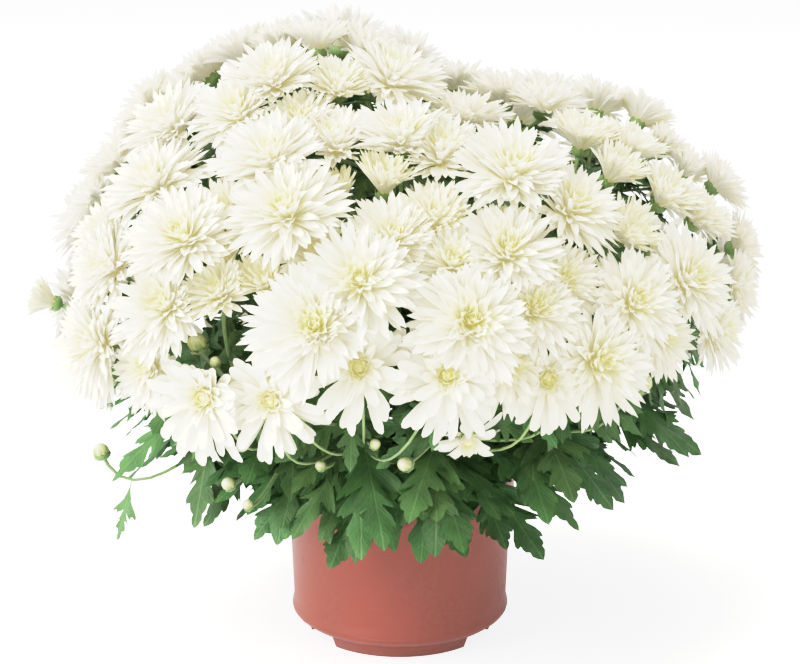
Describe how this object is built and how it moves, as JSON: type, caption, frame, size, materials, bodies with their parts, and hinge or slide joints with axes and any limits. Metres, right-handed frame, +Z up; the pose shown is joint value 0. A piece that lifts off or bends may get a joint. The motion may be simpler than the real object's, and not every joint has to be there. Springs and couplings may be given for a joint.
{
  "type": "pot chrysanthemum",
  "caption": "Bushy pot chrysanthemum: a dome of white double blooms over lobed green leaves on branching stems, rooted in soil in a low round plastic pot that stands flat.",
  "frame": {"origin": "centre of the pot's foot, on the surface that it stands on, on the pot's axis", "axes": "+Z up along the pot's axis, -Y towards the plant's front, +X to the right as seen from the front"},
  "size_m": [0.4897, 0.4641, 0.4263],
  "materials": {
    "pot": "satin",
    "soil": "matte",
    "leaf": "satin",
    "petal": "matte"
  },
  "bodies": {
    "root": {"pot": "pot", "soil": "soil", "shoot_01": "leaf", "shoot_02": "leaf", "shoot_03": "leaf", "shoot_04": "leaf", "shoot_05": "leaf", "shoot_06": "leaf", "shoot_07": "leaf", "shoot_08": "leaf", "shoot_09": "leaf", "shoot_10": "leaf", "shoot_11": "leaf", "shoot_12": "leaf", "shoot_13": "leaf", "shoot_14": "leaf", "shoot_15": "leaf", "shoot_16": "leaf", "shoot_17": "leaf", "shoot_18": "leaf", "shoot_19": "leaf", "shoot_20": "leaf", "shoot_21": "leaf", "shoot_22": "leaf", "spray_01": "petal", "spray_02": "petal", "spray_03": "petal", "spray_04": "petal", "spray_05": "petal", "spray_06": "petal", "spray_07": "petal", "spray_08": "petal", "spray_09": "petal", "spray_10": "petal", "spray_11": "petal", "spray_12": "petal", "spray_13": "petal", "spray_14": "petal", "spray_15": "petal", "spray_16": "petal", "spray_17": "petal", "spray_18": "petal", "spray_19": "petal", "spray_20": "petal", "spray_21": "petal", "spray_22": "petal"}
  },
  "joints": []
}
